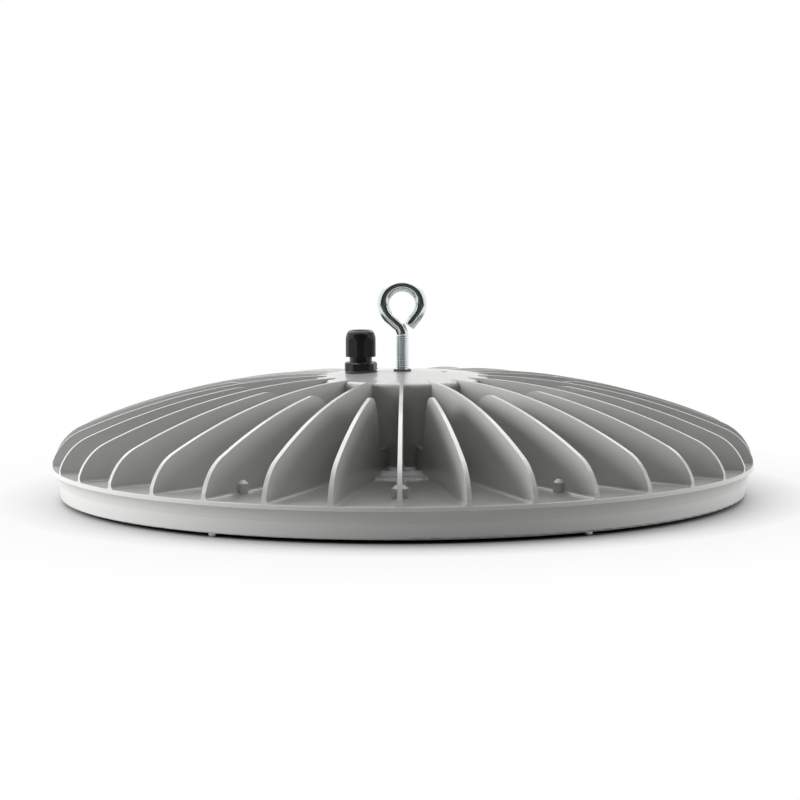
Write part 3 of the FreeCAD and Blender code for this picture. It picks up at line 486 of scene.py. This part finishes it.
def rounded(corners, radii):
    """A line through corners, each inner one turned with an arc of its radius."""
    steps = 8
    line = [corners[0]]
    for before, corner, after, radius in zip(corners, corners[1:], corners[2:], radii):
        back, ahead = (before - corner).normalized(), (after - corner).normalized()
        half = back.angle(ahead) / 2
        reach = radius / math.tan(half)
        centre = corner + (back + ahead).normalized() * radius / math.sin(half)
        first, last = corner + back * reach - centre, corner + ahead * reach - centre
        for k in range(steps + 1):
            line.append(centre + radius * first.slerp(last, k / steps))
    return line + [corners[-1]]


def on_circle(radius, angle, height):
    """A place on a circle about the light's axis, turned to face outwards."""
    return (Matrix.Rotation(math.radians(angle), 4, "Z")
            @ Matrix.Translation((radius, 0.0, height)))


# ------------------------------------------------------------------------ properties

class HighBayCasting(bpy.types.PropertyGroup):
    """The painted casting and the ring that holds the cover."""
    colour: FloatVectorProperty(name="Paint", description="Powder coat colour",
                                subtype="COLOR", size=3, min=0.0, max=1.0,
                                default=(0.46, 0.46, 0.449))
    arris: FloatProperty(name="Arris", description="Radius on the casting's edges",
                         unit="LENGTH", default=0.42 * MM, min=0.0)
    bezel: FloatProperty(name="Bezel", description="Radius on the bezel ring's edges",
                         unit="LENGTH", default=0.40 * MM, min=0.0)


class HighBayEye(bpy.types.PropertyGroup):
    """The bent eye bolt."""
    wire: FloatProperty(name="Wire", description="Radius of the wire",
                        unit="LENGTH", default=3.55 * MM)
    thread: FloatProperty(name="Thread", description="Outer radius of the thread",
                          unit="LENGTH", default=4.0 * MM)
    pitch: FloatProperty(name="Pitch", description="Pitch of the thread",
                         unit="LENGTH", default=1.25 * MM)
    depth: FloatProperty(name="Depth", description="Depth of the thread",
                         unit="LENGTH", default=0.80 * MM)
    neck: FloatProperty(name="Neck", description="Top of the eye down to the thread",
                        unit="LENGTH", default=32.4 * MM)
    ring: FloatProperty(name="Eye", description="Radius of the eye to mid wire",
                        unit="LENGTH", default=11.15 * MM)
    bend: FloatProperty(name="Bend", description="Radius of the bend at the neck",
                        unit="LENGTH", default=4.4 * MM)
    lean: FloatProperty(name="Lean", description="How far the neck leans at its bend",
                        unit="LENGTH", default=1.5 * MM)
    drop: FloatProperty(name="Drop", description="Middle of the eye down to the bend",
                        unit="LENGTH", default=13.6 * MM)
    leave: FloatProperty(name="Free end", description="Where the free end leaves the eye",
                         subtype="ANGLE", default=math.radians(-38.0))
    colour: FloatVectorProperty(name="Zinc", description="Zinc plate's colour",
                                subtype="COLOR", size=3, min=0.0, max=1.0,
                                default=(0.80, 0.85, 0.84))


class HighBayGland(bpy.types.PropertyGroup):
    """The cable gland."""
    colour: FloatVectorProperty(name="Nylon", description="Colour of the nylon",
                                subtype="COLOR", size=3, min=0.0, max=1.0,
                                default=(0.006, 0.006, 0.006))
    edge: FloatProperty(name="Edge", description="Radius on the moulded edges",
                        unit="LENGTH", default=0.30 * MM)


class HighBayScrews(bpy.types.PropertyGroup):
    """The small screws."""
    key: FloatProperty(name="Socket", description="Flats of the hexagon socket",
                       unit="LENGTH", default=2.0 * MM)
    head: FloatProperty(name="Head", description="Radius of a head",
                        unit="LENGTH", default=2.7 * MM)
    head_height: FloatProperty(name="Head height", description="Height of a head",
                               unit="LENGTH", default=2.2 * MM)
    thread: FloatProperty(name="Thread", description="Outer radius of the thread",
                          unit="LENGTH", default=1.5 * MM)


class HighBayBoards(bpy.types.PropertyGroup):
    """The LED boards."""
    lens: FloatProperty(name="Lens", description="Radius of an LED's lens",
                        unit="LENGTH", default=1.3 * MM)
    glow: FloatVectorProperty(name="Phosphor", description="Colour of an unlit LED",
                              subtype="COLOR", size=3, min=0.0, max=1.0,
                              default=(0.83, 0.66, 0.20))


class HighBayStudio(bpy.types.PropertyGroup):
    """The camera, the lamps and the floor."""
    camera: FloatVectorProperty(name="Camera", description="Where the camera stands",
                                subtype="TRANSLATION", size=3,
                                default=(0.0126, -1.50355, 0.2015))
    aim: FloatVectorProperty(name="Aim", description="What the camera points at",
                             subtype="TRANSLATION", size=3, default=(0.0, 0.0, 0.0205))
    lens: FloatProperty(name="Lens", description="Camera's focal length",
                        unit="CAMERA", default=112.86)
    roll: FloatProperty(name="Roll", description="Camera's roll", subtype="ANGLE",
                        default=math.radians(-0.27))
    shift: FloatVectorProperty(name="Shift", description="Shift of the camera's frame",
                               size=2, default=(-0.0036, 0.0738))
    overhead: FloatProperty(name="Overhead", description="Power of the overhead lamp",
                            unit="POWER", default=25.0)
    left: FloatProperty(name="Left", description="Power of the left lamp",
                        unit="POWER", default=31.0)
    right: FloatProperty(name="Right", description="Power of the right lamp",
                         unit="POWER", default=13.5)
    room: FloatProperty(name="Room", description="Strength of the room's own light",
                        default=0.08)


# --------------------------------------------------------------------------- casting

class HIGHBAY_OT_casting(bpy.types.Operator):
    """Dress the painted casting and the bezel ring"""
    bl_idname = "highbay.casting"
    bl_label = "Casting"

    def execute(self, context):
        size = context.scene.highbay_casting
        soften(dress("heat_sink", size.colour), size.arris)
        soften(dress("bezel_ring", size.colour), size.bezel)
        return {"FINISHED"}


# -------------------------------------------------------------------------- eye bolt

WIRE_POINTS = 32      # round the wire and the thread
TURN_ROWS = 10        # rings of points to a turn of the thread


def thread_rings(size, low, neck):
    """Rings up the shank: its chamfered foot, the thread, and the thread's run-out
    into the plain wire at the neck."""
    foot_inset, foot, top_gap = 1.1 * MM, 0.4 * MM, 0.2 * MM
    chamfer, chamfer_depth, run_out = 1.0 * MM, 0.8 * MM, 2.0 * MM
    # How steeply a flank falls, and how much of that the flat crest takes up.
    fall, crest = 2.9, 0.35
    start, end = low + foot, neck - top_gap
    rows = int((neck - low) / size.pitch * TURN_ROWS)
    rings = [circle_points(size.thread - foot_inset, low, WIRE_POINTS)]
    for row in range(rows + 1):
        height = start + (end - start) * row / rows
        lead_in = min(1.0, (height - low) / chamfer)
        lead_out = min(1.0, (neck - height) / run_out)
        ring = []
        for turn in turns(WIRE_POINTS):
            phase = (height / size.pitch - turn / math.tau) % 1.0
            flank = min(1.0, max(0.0, abs(phase - 0.5) * fall - crest))
            cut = size.thread - size.depth * flank
            reach = min(size.wire + (cut - size.wire) * lead_out,
                        size.thread - (1 - lead_in) * chamfer_depth)
            ring.append(Vector((reach * math.cos(turn), reach * math.sin(turn), height)))
        rings.append(ring)
    return rings


def eye_path(size, neck, top):
    """The middle of the wire, from the neck to its free end. top is the height of the
    eye's highest point."""
    lean_foot, lean_radius = 0.8 * MM, 3.0 * MM
    free_end = (2.6 * MM, 5.2 * MM, 7.0 * MM, 7.7 * MM)
    steps = 54
    centre = Vector((0.0, 0.0, top - size.wire - size.ring))
    bend = Vector((-size.lean, 0.0, -size.drop))
    # Where the straight neck from the bend meets the eye without a kink.
    meet = math.tau + math.atan2(bend.z, bend.x) - math.acos(size.ring / bend.length)
    eye = []
    for k in range(steps + 1):
        turn = meet + (size.leave - meet) * k / steps
        eye.append(centre + size.ring * Vector((math.cos(turn), 0.0, math.sin(turn))))
    shank = rounded([Vector((0.0, 0.0, neck)), Vector((0.0, 0.0, neck + lean_foot)),
                     centre + bend, eye[0]], (lean_radius, size.bend))
    heading = Vector((math.sin(size.leave), 0.0, -math.cos(size.leave)))
    return shank[:-1] + eye + [eye[-1] + heading * run for run in free_end]


def wire_rings(path, radius):
    """Rings round a path that lies in the plane y = 0. The last one is narrower, for
    the rounded end of the wire."""
    end_share = 0.90
    side = Vector((0.0, 1.0, 0.0))
    rings = []
    for k, point in enumerate(path):
        before, after = path[max(k - 1, 0)], path[min(k + 1, len(path) - 1)]
        across = side.cross((after - before).normalized())
        reach = radius * (end_share if point is path[-1] else 1.0)
        rings.append([point + reach * (across * math.cos(turn) + side * math.sin(turn))
                      for turn in turns(WIRE_POINTS)])
    return rings


class HIGHBAY_OT_eye_bolt(bpy.types.Operator):
    """Make the bent eye bolt with its real thread"""
    bl_idname = "highbay.eye_bolt"
    bl_label = "Eye bolt"

    def execute(self, context):
        size = context.scene.highbay_eye
        low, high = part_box("eye_bolt")
        neck = high.z - size.neck
        mesh = bmesh.new()
        lathe(mesh, thread_rings(size, low.z, neck)
              + wire_rings(eye_path(size, neck, high.z), size.wire))
        bolt = new_piece("eye_bolt_threaded", mesh, "zinc_steel", ["eye_bolt"],
                         finish_for("zinc_steel", size.colour))
        smooth(bolt, angle=50.0)
        for node in ("eye_washer", "eye_lock_nut"):
            soften(dress(node), HARD_EDGE)
        soften(dress("eye_seal"), SOFT_EDGE)
        return {"FINISHED"}


# ----------------------------------------------------------------------------- gland

class HIGHBAY_OT_gland(bpy.types.Operator):
    """Dress the cable gland"""
    bl_idname = "highbay.gland"
    bl_label = "Cable gland"

    def execute(self, context):
        size = context.scene.highbay_gland
        for node in ("gland_dome_nut", "gland_body", "gland_lock_nut"):
            soften(dress(node, size.colour), size.edge)
        for node in ("gland_o_ring", "gland_insert"):
            dress(node)
        return {"FINISHED"}


# ---------------------------------------------------------------------------- screws

# Each piece of like screws, the CAD node it stands for, and the circles they are on:
# radius in mm, angle of the first one in degrees, and how many.
SCREWS = (
    ("bezel_socket_screws", "bezel_screws", ((201.0, 0.0, 6),)),
    ("lid_socket_screws", "compartment_screws", ((46.5, 0.0, 6),)),
    ("board_socket_screws", "board_screws",
     ((72.0, 10.0, 6), (72.0, 50.0, 6), (172.0, 10.0, 6), (172.0, 50.0, 6))),
)


def socket_screw(mesh, place, size, shank):
    """A button-headed screw with a hexagon socket. Its head hangs below the plane
    z = 0 of place, and its shank goes up from it."""
    count = 24
    tip_share, tip = 0.8, 0.4 * MM
    # Shares of the head's height: its upright rim, and the edge and the middle of the
    # socket's floor.
    rim, floor_edge, floor_middle = 0.30, 0.42, 0.30
    # Shares of the socket's flats: the radius to which the dome bends, and the outer
    # radius of the flat round the socket's mouth and of the middle of its floor.
    dome, mouth, middle = 0.80, 0.72, 0.12
    rings = [circle_points(size.thread * tip_share, shank, count),
             circle_points(size.thread, shank - tip, count),
             circle_points(size.thread, 0.0, count),
             circle_points(size.head, 0.0, count),
             circle_points(size.head, -size.head_height * rim, count)]
    for share in (0.25, 0.5, 0.75):
        bend = share * math.pi / 2
        rings.append(circle_points(
            size.head - (size.head - size.key * dome) * (1 - math.cos(bend)),
            -size.head_height * (rim + (1 - rim) * math.sin(bend)), count))
    rings += [circle_points(size.key * mouth, -size.head_height, count),
              hexagon_points(size.key, -size.head_height, count),
              hexagon_points(size.key, -size.head_height * floor_edge, count),
              circle_points(size.key * middle, -size.head_height * floor_middle, count)]
    lathe(mesh, rings, place)


class HIGHBAY_OT_screws(bpy.types.Operator):
    """Make the screws that show, each with a hexagon socket"""
    bl_idname = "highbay.screws"
    bl_label = "Screws"

    def execute(self, context):
        size = context.scene.highbay_screws
        for name, node, circles in SCREWS:
            low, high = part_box(node)
            seat = low.z + size.head_height
            mesh = bmesh.new()
            for radius, first, count in circles:
                for k in range(count):
                    place = on_circle(radius * MM, first + 360.0 * k / count, seat)
                    socket_screw(mesh, place, size, high.z - seat)
            smooth(new_piece(name, mesh, "screw_steel", [node]), angle=30.0)
        return {"FINISHED"}


# ------------------------------------------------------------------------ LED boards

BOARD_COUNT = sum(node.startswith("led_board_") for node in NODES)
# The circles of LEDs: radius in mm, and how many are on each board.
LED_CIRCLES = ((84.0, 5), (108.0, 6), (133.0, 8), (158.0, 9))
BOARD_EDGE = 3.0      # degrees from a board's end to its first LED


def led_lens(mesh, place, radius):
    """A low dome that hangs from place, with its foot sunk into the LED."""
    count, sunk, rise = 16, 0.1 * MM, 0.55
    rings = [circle_points(radius, sunk, count)]
    for bend in (0.0, 0.35, 0.75, 1.15):
        rings.append(circle_points(radius * math.cos(bend),
                                   -radius * rise * math.sin(bend), count))
    lathe(mesh, rings, place)


class HIGHBAY_OT_boards(bpy.types.Operator):
    """Dress the LED boards and put a lens on every LED"""
    bl_idname = "highbay.boards"
    bl_label = "LED boards"

    def execute(self, context):
        size = context.scene.highbay_boards
        glow = phosphor("led_phosphor", size.glow)
        sector = 360.0 / BOARD_COUNT
        for number in range(BOARD_COUNT):
            node = "led_board_%d" % (number + 1)
            dress(node)
            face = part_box(node)[0].z
            mesh = bmesh.new()
            for radius, count in LED_CIRCLES:
                step = (sector - 2 * BOARD_EDGE) / (count - 1)
                for k in range(count):
                    angle = sector * number + BOARD_EDGE + step * k
                    led_lens(mesh, on_circle(radius * MM, angle, face), size.lens)
            lenses = new_piece("led_lenses_%d" % (number + 1), mesh, "board_white",
                               finish=glow)
            smooth(lenses, angle=60.0)
        return {"FINISHED"}


# ----------------------------------------------------------------- cover and contents

class HIGHBAY_OT_cover(bpy.types.Operator):
    """Dress the clear cover and its gasket"""
    bl_idname = "highbay.cover"
    bl_label = "Clear cover"

    def execute(self, context):
        dress("clear_cover")
        dress("cover_gasket")
        return {"FINISHED"}


class HIGHBAY_OT_inside(bpy.types.Operator):
    """Dress what the hub holds: the driver, its bracket, the terminals and the lid"""
    bl_idname = "highbay.inside"
    bl_label = "Inside the hub"

    def execute(self, context):
        for node in ("driver_bracket", "compartment_lid", "led_driver", "terminal_block"):
            soften(dress(node), HARD_EDGE)
        for node in ("bracket_screws", "driver_screws", "earth_screw", "earth_washer",
                     "terminal_screws"):
            dress(node)
        return {"FINISHED"}


# ----------------------------------------------------------------------------- stage

# The floor's painted shadow under the light is nearly black.
WHITE, PAINTED_SHADOW_BLACK = (1.0, 1.0, 1.0), (0.02, 0.02, 0.02)
FLOOR_GREY, CLOTH_GREY = (0.50, 0.50, 0.50), (0.06, 0.06, 0.06)
FLOOR_RADIUS, FLOOR_HEIGHT, FLOOR_POINTS = 12.0, -0.02 * MM, 96
SENSOR_WIDTH, NEAREST, FARTHEST = 36.0, 0.01, 60.0


def floor_finish():
    """Pale grey, with a painted shadow of nearly black where the light itself stands over
    it, and white to the camera away from the light. Near the light the white fades out
    so that the lit grey floor shows, with its real shadow and a painted shade as well."""
    # Distances from the light's axis in metres, where its rim is at 0.21: the edge of the
    # painted shadow under what it stands over, and where the white fades out towards the
    # light, quickly and then slowly, leaving the lit grey floor with its real shadow and
    # a painted shade besides.
    under, quick, slow = (0.197, 0.205), (0.203, 0.248), (0.215, 0.345)
    made = Finish("studio_floor_painted_shadow")
    x, y, _ = made.axes()
    out = hypotenuse(x, y)
    # Painted shadow: the floor's colour is nearly black under the light.
    made.put("Base Color", made.tint(out.rise(*under), PAINTED_SHADOW_BLACK, FLOOR_GREY))
    made.put("Roughness", 0.5)
    camera, glossy, through = made.rays("Is Camera Ray", "Is Glossy Ray",
                                        "Is Transmission Ray")
    # Painted shade as well as real shadow: near the light less of the white shows, so the
    # floor is darker there.
    faded = 0.80 * out.rise(*quick) + 0.20 * out.rise(*slow)
    share = (camera + glossy + through).clamped() * faded
    white = made.node("ShaderNodeEmission", values={"Color": WHITE, "Strength": 1.0})
    lit = Wire(made, made.shader.outputs["BSDF"])
    surface = made.node("ShaderNodeMixShader", values={0: share, 1: lit, 2: white})
    made.feed(made.tree.nodes["Material Output"].inputs["Surface"], surface)
    return made.material


def staged(name, corners, material):
    """A flat sheet of the studio, which isn't part of the light."""
    mesh = bmesh.new()
    mesh.faces.new(ring_of(mesh, [Vector(corner) for corner in corners]))
    sheet = mesh_object(name, mesh, material)
    return sheet


def dark_screens(wide, high, front, near):
    """Dark cloths in front of the light, one standing at front and one lying from
    there to near, which show only as reflections in what is glossy."""
    cloth = Finish("studio_cloth")
    cloth.put("Base Color", CLOTH_GREY)
    cloth.put("Roughness", 0.9)
    lying = 1.0 * MM
    for name, corners in (
            ("studio_screen", ((-wide, front, 0.0), (wide, front, 0.0),
                               (wide, front, high), (-wide, front, high))),
            ("studio_cloth", ((-wide, front, lying), (wide, front, lying),
                              (wide, near, lying), (-wide, near, lying)))):
        sheet = staged(name, corners, cloth.material)
        sheet.visible_camera = sheet.visible_diffuse = False
        sheet.visible_transmission = sheet.visible_shadow = False


def white_room(strength):
    """A room with a weak even light, which shows white to the camera and nearly white
    in what reflects it."""
    reflected = 0.96
    world = bpy.data.worlds.new("studio_room")
    world.use_nodes = True
    room = Nodes(world.node_tree)
    background = room.tree.nodes["Background"]
    camera, glossy = room.rays("Is Camera Ray", "Is Glossy Ray")
    shown = camera + (1.0 - camera) * (reflected * glossy)
    room.feed(background.inputs["Color"], WHITE)
    room.feed(background.inputs["Strength"], strength + (1.0 - strength) * shown)
    return world


def lamp(name, place, aim, width, height, power):
    """A rectangular lamp that shines from place to aim."""
    data = bpy.data.lights.new(name, "AREA")
    data.shape = "RECTANGLE"
    data.size, data.size_y = width, height
    data.energy = power
    lit = placed(name, data)
    lit.location = place
    lit.rotation_euler = (Vector(aim) - Vector(place)).to_track_quat("-Z", "Y").to_euler()
    return lit


def studio_camera(studio):
    """The camera, which stands and points as the studio's properties say."""
    view = bpy.data.cameras.new("studio_camera")
    view.lens = studio.lens
    view.sensor_width = SENSOR_WIDTH
    view.shift_x, view.shift_y = studio.shift
    view.clip_start, view.clip_end = NEAREST, FARTHEST
    camera = placed("studio_camera", view)
    aim = (Vector(studio.aim) - Vector(studio.camera)).to_track_quat("-Z", "Y")
    camera.matrix_world = (Matrix.Translation(studio.camera) @ aim.to_matrix().to_4x4()
                           @ Matrix.Rotation(studio.roll, 4, "Z"))
    return camera


class HIGHBAY_OT_stage(bpy.types.Operator):
    """Set up the floor, the lamps and the camera"""
    bl_idname = "highbay.stage"
    bl_label = "Stage"

    def execute(self, context):
        scene = context.scene
        studio = scene.highbay_studio
        staged("studio_floor_painted_shadow", circle_points(FLOOR_RADIUS, FLOOR_HEIGHT, FLOOR_POINTS),
               floor_finish())
        dark_screens(wide=3.4, high=2.6, front=-1.9, near=-0.36)
        scene.world = white_room(studio.room)
        lamp("overhead", place=(0.0, 0.60, 1.4), aim=(0.0, 0.0, 0.0),
             width=2.6, height=1.8, power=studio.overhead)
        for side, place, power in (("side_left", (-1.25, -0.10, 0.42), studio.left),
                                   ("side_right", (1.25, 0.0, 0.42), studio.right)):
            lit = lamp(side, place, aim=(0.0, 0.0, 0.05), width=1.5, height=0.8,
                       power=power)
            lit.visible_glossy = False
        scene.camera = studio_camera(studio)
        scene.view_settings.view_transform = "Standard"
        return {"FINISHED"}


# ----------------------------------------------------------------- panel and running

class HIGHBAY_PT_panel(bpy.types.Panel):
    """Lists the light's pieces and their sizes"""
    bl_idname = "HIGHBAY_PT_panel"
    bl_label = "High Bay Light"
    bl_space_type = "VIEW_3D"
    bl_region_type = "UI"
    bl_category = "High Bay"

    def draw(self, context):
        for operator in OPERATORS:
            self.layout.operator(operator.bl_idname)
        for group in GROUPS:
            box = self.layout.box()
            settings = getattr(context.scene, group)
            for key in GROUPS[group].__annotations__:
                box.prop(settings, key)


OPERATORS = (HIGHBAY_OT_casting, HIGHBAY_OT_eye_bolt, HIGHBAY_OT_gland,
             HIGHBAY_OT_screws, HIGHBAY_OT_boards, HIGHBAY_OT_cover,
             HIGHBAY_OT_inside, HIGHBAY_OT_stage)
GROUPS = {"highbay_casting": HighBayCasting, "highbay_eye": HighBayEye,
          "highbay_gland": HighBayGland, "highbay_screws": HighBayScrews,
          "highbay_boards": HighBayBoards, "highbay_studio": HighBayStudio}


def register():
    for made in (*GROUPS.values(), *OPERATORS, HIGHBAY_PT_panel):
        bpy.utils.register_class(made)
    for name, group in GROUPS.items():
        setattr(bpy.types.Scene, name, PointerProperty(type=group))


def unregister():
    for name in GROUPS:
        delattr(bpy.types.Scene, name)
    for made in (HIGHBAY_PT_panel, *reversed(OPERATORS), *reversed(GROUPS.values())):
        bpy.utils.unregister_class(made)


def main():
    register()
    bpy.ops.highbay.casting()
    bpy.ops.highbay.eye_bolt()
    bpy.ops.highbay.gland()
    bpy.ops.highbay.screws()
    bpy.ops.highbay.boards()
    bpy.ops.highbay.cover()
    bpy.ops.highbay.inside()
    bpy.ops.highbay.stage()


if __name__ == "__main__":
    main()
